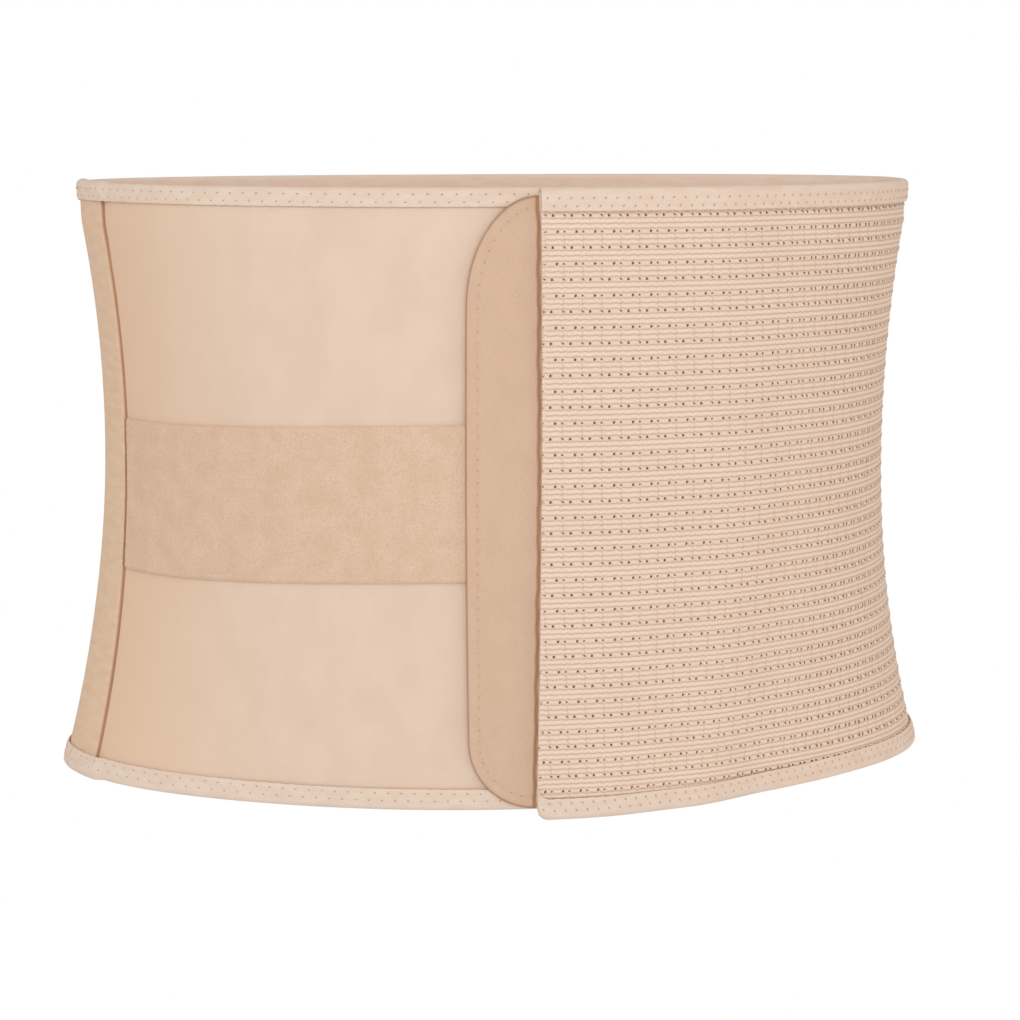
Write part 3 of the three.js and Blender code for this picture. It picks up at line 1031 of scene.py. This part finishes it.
def edge_distance(points, outline):
    """Shortest way from each point to a line through the outline's points."""
    a, b = outline[:-1], outline[1:]
    along = b - a
    length = np.maximum((along ** 2).sum(1), 1e-12)
    best = np.full(len(points), 1.0)
    for start, way, square in zip(a, along, length):
        share = np.clip(((points - start) @ way) / square, 0, 1)
        best = np.minimum(best, np.linalg.norm(points - start - share[:, None] * way, axis=1))
    return best


TAB_ROWS = 150
TAB_BACK_ROWS = 60
TAB_RIM = 1.1 * MM
TAB_BACK_RIM = 0.8 * MM
TAB_WAVE = 0.15 * MM
LIP_RISE = 0.15 * MM
LIP_WIDTH = 0.7 * MM
RIM_SHADE_WIDTH = 0.9 * MM
GROOVE_DEPTH = 0.22 * MM
GROOVE_WIDTH = 1.0 * MM
GROOVE_SHADE = 0.15
TAB_STITCH_INSET = 4.6 * MM
TAB_STITCH_STEP = 4.6 * MM
TAB_STITCH = 0.9 * MM
CREASE_WIDTH = 1.3 * MM
CREASE_DEPTH = 0.3 * MM
CREASE_SHADE = 0.85


def closing_crease(p, height):
    """Strength of the crease beside the closing edge and of its painted shade, which wander a little with
    height.
    """
    wander = 0.16 * MM * np.sin(height / (1.9 * MM)) + 0.14 * MM * np.sin(height / (5.3 * MM))
    return np.exp(-((CLOSING_EDGE - p - CREASE_WIDTH / 2 + wander) / (CREASE_WIDTH / 1.6)) ** 4)


def tab_edge_distance(p, heights, outline):
    return edge_distance(np.stack([np.full(len(heights), p), heights], axis=1), outline)


def tab_face(p, heights, outline):
    """Offsets up the tab's outer face, with its rim, lip, stitched groove and crease, and the painted shade
    along its rim, in the groove and in the crease.
    """
    distance = tab_edge_distance(p, heights, outline)
    groove = np.exp(-((distance - TAB_STITCH_INSET) / GROOVE_WIDTH) ** 2)
    lip = np.exp(-((distance - TAB_RIM) / LIP_WIDTH) ** 2)
    crease = closing_crease(p, heights)
    outer = tab_offset(heights) + TAB_THICKNESS * (0.5 + 0.5 * round_rim(distance, TAB_RIM))
    outer += LIP_RISE * lip - GROOVE_DEPTH * groove
    outer += undulate(p, heights, TAB_WAVE, 3)
    outer -= CREASE_DEPTH * crease
    # A line of painted shade along the tab's edge
    rim = 1 - ease(distance / RIM_SHADE_WIDTH)
    return outer, np.maximum(GROOVE_SHADE * groove, np.maximum(rim, CREASE_SHADE * crease))


def tab_section(p, outline):
    low, high = float(tab_bottom(p)), float(tab_top(p))
    up = low + (high - low) * np.linspace(0, 1, TAB_ROWS)
    down = low + (high - low) * np.linspace(1, 0, TAB_BACK_ROWS)
    outer, shade = tab_face(p, up, outline)
    risen = round_rim(tab_edge_distance(p, down, outline), TAB_BACK_RIM)
    inner = tab_offset(down) + TAB_THICKNESS * 0.35 * (1 - risen)
    shades = np.concatenate([shade, np.zeros(TAB_BACK_ROWS)])
    return np.concatenate([outer, inner]), np.concatenate([up, down]), shades


def make_hook_tab():
    positions = tab_columns()
    outline = tab_outline()
    piece = make_cloth("hook_tab_suede", positions, lambda p: tab_section(p, outline), SUEDE,
                       "hook_tab")


def make_tab_stitches():
    """A row of stitches that follows the tab's outline inside its lip."""
    outline = tab_outline()
    way = np.diff(outline, axis=0)
    way = way / np.linalg.norm(way, axis=1)[:, None]
    inwards = np.stack([way[:, 1], -way[:, 0]], axis=1)
    line = (outline[:-1] + outline[1:]) / 2 + inwards * TAB_STITCH_INSET
    line = line[edge_distance(line, outline) > TAB_STITCH_INSET * 0.97]
    line = line[line[:, 0] < CLOSING_EDGE + 2 * MM]
    run = np.concatenate([[0], np.cumsum(np.linalg.norm(np.diff(line, axis=0), axis=1))])
    starts, ends = [], []
    for first in np.arange(TAB_STITCH_STEP / 2, run[-1] - TAB_STITCH_STEP, TAB_STITCH_STEP):
        for way_on, rows in ((0, starts), (TAB_STITCH, ends)):
            p, h = (np.interp(first + way_on, run, line[:, axis]) for axis in (0, 1))
            rows.append((p, float(tab_offset(h)) + TAB_THICKNESS - 0.2 * MM, h))
    # The tab's stitches take the dark needle-hole colour, painted shade where they sink into the suede
    stitches("hook_tab_stitches", starts, ends, 1.0, 0.5 * MM, NEEDLE_HOLE_SHADE)


# Edge tapes

Tape = namedtuple("Tape", "name node start end inside outside edge side leg period slant")
TAPE_STEP = 1.05 * MM
ZIGZAG_REACH = 3.2 * MM
ZIGZAG_FOOT = 1.8 * MM
DENT_WIDTH = 0.75 * MM
DENT_DEPTH = 0.2 * MM
DENT_SHADE = 0.12
PUFF = 0.15 * MM
RIPPLE = 0.07 * MM
HEM_SHARE = 0.55
HEM_WIDTH = 0.3 * MM
THREAD_SHARES = (0.06, 0.56)
THREAD_LENGTH = 0.38
THREAD_SINK = 0.17 * MM
NEEDLE_HALF = 0.45 * MM
NEEDLE_RISE = 0.02 * MM
NARROWING = 40 * MM
FRONT_PERIOD, ELASTIC_PERIOD = 5.8 * MM, 4.85 * MM
FRONT_SLANT, ELASTIC_SLANT = 0.15, 1.2


def fold_section(inside, outside, edge, side, leg, columns=9):
    """Centre line of a tape folded over a cloth edge, from its outer hem round the bend to its inner hem."""
    half = (outside - inside) / 2 + CLEARANCE + TAPE_THICKNESS / 2
    middle = (outside + inside) / 2
    outer = [(middle + half, edge - side * down) for down in np.linspace(leg, 0, columns)]
    bend = [(middle + half * math.cos(turn), edge + side * half * math.sin(turn))
            for turn in np.linspace(0, math.pi, 11)[1:-1]]
    inner = [(middle - half, edge - side * down) for down in np.linspace(0, leg, 4)]
    return np.array(outer + bend + inner)


def zigzag_down(tape, p):
    """How far from the cloth's edge the tape's zigzag seam lies at a girth position."""
    turn = ((p - tape.start) / tape.period) % 1
    across = 1 - abs(2 * turn - 1)
    return float(tape.leg(p)) - ZIGZAG_FOOT - ZIGZAG_REACH * across


def seam_point(tape, p, rise):
    """A point of the zigzag seam as position, offset and height, a little above or below the tape's face."""
    face = float(tape.outside(p)) + CLEARANCE + TAPE_THICKNESS
    return p, face + rise, float(tape.edge(p)) - tape.side * zigzag_down(tape, p)


def tape_section(tape, p):
    """Offsets, heights and seam shades round the folded tape at a girth position."""
    inside, outside, edge, leg = tape.inside(p), tape.outside(p), tape.edge(p), float(tape.leg(p))
    line = fold_section(inside, outside, edge, tape.side, leg)
    way = np.gradient(line, axis=0)
    way = way / np.linalg.norm(way, axis=1)[:, None]
    out = np.stack([way[:, 1], -way[:, 0]], axis=1) * tape.side
    down = np.clip(tape.side * (edge - line[:, 1]), 0, leg)
    on_face = (line[:, 0] > (inside + outside) / 2) & (down > 0)
    # The dent along the zigzag seam sinks the tape and takes painted shade
    dent = np.exp(-((down - zigzag_down(tape, p)) / DENT_WIDTH) ** 2) * on_face
    puff = PUFF * np.sin(np.pi * np.clip(down / leg, 0, 1)) * on_face
    half = TAPE_THICKNESS / 2 * np.where(down > leg - HEM_WIDTH, HEM_SHARE, 1)
    face = line + out * (half + puff - DENT_DEPTH * dent)[:, None]
    back = line - out * half[:, None]
    ripple = tape.side * RIPPLE * math.sin(2 * math.pi * (p - tape.start) / tape.period)
    face[0, 1] += ripple
    back[0, 1] += ripple
    loop = np.concatenate([face, back[::-1]])
    return loop[:, 0], loop[:, 1], np.concatenate([DENT_SHADE * dent, np.zeros(len(back))])


def make_seam_threads(tape):
    starts, ends = [], []
    half_period = tape.period / 2
    legs = np.arange(tape.start + tape.period / 4, tape.end - tape.period, half_period)
    for index in range(len(legs)):
        for share in THREAD_SHARES:
            for rows, reached in ((starts, share), (ends, share + THREAD_LENGTH)):
                rows.append(seam_point(tape, tape.start + (index + reached) * half_period, -THREAD_SINK))
    stitches(tape.name + "_stitches", starts, ends, 1.05, 0.5 * MM, THREAD)


def make_needle_hole_shade(tape):
    # Dark beads at the zigzag's needle holes, as painted shade
    starts, ends = [], []
    for p in np.arange(tape.start + tape.period / 2, tape.end - tape.period, tape.period / 2):
        _, rise, high = seam_point(tape, p, NEEDLE_RISE)
        lean = tape.side * tape.slant * NEEDLE_HALF
        starts.append((p - NEEDLE_HALF, rise, high - lean))
        ends.append((p + NEEDLE_HALF, rise, high + lean))
    stitches(tape.name + "_needle_points", starts, ends, 1.0, 0.55 * MM, NEEDLE_HOLE_SHADE)


def make_binding(tape):
    positions = stops(tape.start, tape.end, TAPE_STEP)
    piece = make_cloth(tape.name, positions, lambda p: tape_section(tape, p), TAPE, tape.node)
    width = 2 * float(tape.leg(tape.start)) + math.pi * FOLD_RISE * 0.8
    make_seam_threads(tape)
    make_needle_hole_shade(tape)


def narrowing_leg(p):
    """The elastic's top tape narrows at its end to meet the front's."""
    return TAPE_LEG + (FRONT_TOP_TAPE_LEG - TAPE_LEG) * ease((p - ELASTIC_END) / NARROWING + 1)


def make_bindings():
    over_panel = lambda p: float(PANEL_THICKNESS + strip_rise(p))
    under_elastic = lambda p: float(elastic_offset(p))
    over_elastic = lambda p: float(elastic_offset(p) + ELASTIC_THICKNESS + strip_rise(p - GIRTH))
    top = lambda p: CLOTH_TOP
    elastic_foot = lambda p: float(elastic_bottom(p))
    front = (FRONT_JOINT, PANEL_END, lambda p: 0.0, over_panel)
    elastic = (CLOSING_EDGE, ELASTIC_END, under_elastic, over_elastic)
    front_seam, elastic_seam = (FRONT_PERIOD, FRONT_SLANT), (ELASTIC_PERIOD, ELASTIC_SLANT)
    for name, run, edge, side, leg, seam in (
            ("front_top", front, top, 1, lambda p: FRONT_TOP_TAPE_LEG, front_seam),
            ("front_bottom", front, lambda p: -CLOTH_FOOT, -1, lambda p: TAPE_LEG, front_seam),
            ("elastic_top", elastic, top, 1, narrowing_leg, elastic_seam),
            ("elastic_bottom", elastic, elastic_foot, -1, lambda p: TAPE_LEG, elastic_seam)):
        make_binding(Tape(name + "_tape", name + "_binding", *run, edge, side, leg, *seam))


def make_closing_overlock():
    """Thread loops sewn over the elastic's cut edge, from tape to tape."""
    step = 1.15 * MM
    levels = np.arange(float(elastic_bottom(CLOSING_EDGE)) + TAPE_LEG, CLOTH_TOP - TAPE_LEG, step)
    face = float(elastic_offset(CLOSING_EDGE)) + ELASTIC_THICKNESS
    starts = [(CLOSING_EDGE + 0.1 * MM, face - 0.5 * MM, h) for h in levels]
    ends = [(CLOSING_EDGE + 1.6 * MM, face - 0.05 * MM, h + 0.2 * MM) for h in levels]
    stitches("closing_edge_overlock", starts, ends, 1.15, 0.7 * MM, THREAD)


# View, light and floor

CAMERA_TURN = 0.2201
CAMERA_TILT = 0.1218
CAMERA_WAY = 1462.25 * MM
CAMERA_HEIGHT = 158.28 * MM
FOCAL_PIXELS = 3328.77
PICTURE_PIXELS = 1020
LEFT_PIXELS = 10.0
SENSOR = 36


def make_camera():
    data = bpy.data.cameras.new("camera")
    data.sensor_width = SENSOR
    data.lens = FOCAL_PIXELS / PICTURE_PIXELS * SENSOR
    data.shift_x = LEFT_PIXELS / PICTURE_PIXELS
    camera = add_object("camera", data)
    x, y = -CAMERA_WAY * math.sin(CAMERA_TURN), -CAMERA_WAY * math.cos(CAMERA_TURN)
    camera.location = (x, y, CAMERA_HEIGHT)
    camera.rotation_euler = (math.pi / 2 - CAMERA_TILT, 0, -CAMERA_TURN)
    bpy.context.scene.camera = camera


def make_light(name, azimuth, elevation, distance, size, watts, colour=(1, 1, 1)):
    """A square soft light that faces the binder, its azimuth counted from the camera to the right."""
    data = bpy.data.lights.new(name, "AREA")
    data.size = size
    data.energy = watts
    data.color = colour
    light = add_object(name, data)
    turn = math.radians(azimuth) - CAMERA_TURN
    rise = math.radians(elevation)
    level = distance * math.cos(rise)
    light.location = (level * math.sin(turn), -level * math.cos(turn), distance * math.sin(rise))
    light.rotation_euler = (Vector((0, 0, 0)) - light.location).to_track_quat("-Z", "Y").to_euler()


SKY_LIGHT = 0.62
KEY_WATTS = 17
FILL_WATTS = 7
LEFT_WATTS = 3.2
RIGHT_WATTS = 7.5
COOL = (0.92, 0.95, 0.98)
WARM = (1, 0.78, 0.6)


def make_studio():
    floor_level = -0.9
    radius, sides = 1.4, 96
    turns = np.linspace(0, 2 * math.pi, sides, endpoint=False)
    corners = [(radius * math.cos(turn), radius * math.sin(turn), floor_level) for turn in turns]
    mesh = new_mesh("floor", corners, [list(range(sides))])
    floor = add_object("floor", mesh)
    paper = bpy.data.materials.new("pale_floor")
    paper.use_nodes = True
    shader = paper.node_tree.nodes["Principled BSDF"]
    shader.inputs["Base Color"].default_value = (0.95, 0.95, 0.95, 1)
    shader.inputs["Roughness"].default_value = 0.9
    mesh.materials.append(paper)
    world = bpy.data.worlds.new("studio")
    world.use_nodes = True
    nodes, link = world.node_tree.nodes, world.node_tree.links.new
    background = nodes["Background"]
    background.inputs["Color"].default_value = (1, 1, 1, 1)
    path = nodes.new("ShaderNodeLightPath")
    level = nodes.new("ShaderNodeMapRange")
    link(path.outputs["Is Camera Ray"], level.inputs["Value"])
    level.inputs["To Min"].default_value = SKY_LIGHT
    level.inputs["To Max"].default_value = 1.0
    link(level.outputs["Result"], background.inputs["Strength"])
    bpy.context.scene.world = world
    bpy.context.scene.view_settings.view_transform = "Standard"
    make_light("key", -14, 26, 2.4, 1.8, KEY_WATTS, COOL)
    make_light("fill", 14, 6, 2.6, 1.6, FILL_WATTS, COOL)
    make_light("left_fill", -75, 0, 2.4, 1.2, LEFT_WATTS, WARM)
    make_light("right_fill", 70, 0, 2.4, 1.2, RIGHT_WATTS, WARM)


make_camera()
make_studio()
make_front_panel()
make_side_strip()
make_side_stitches()
make_loop_band()
make_band_overlock()
make_hook_tab()
make_tab_stitches()
make_bindings()
make_elastic()
make_closing_overlock()
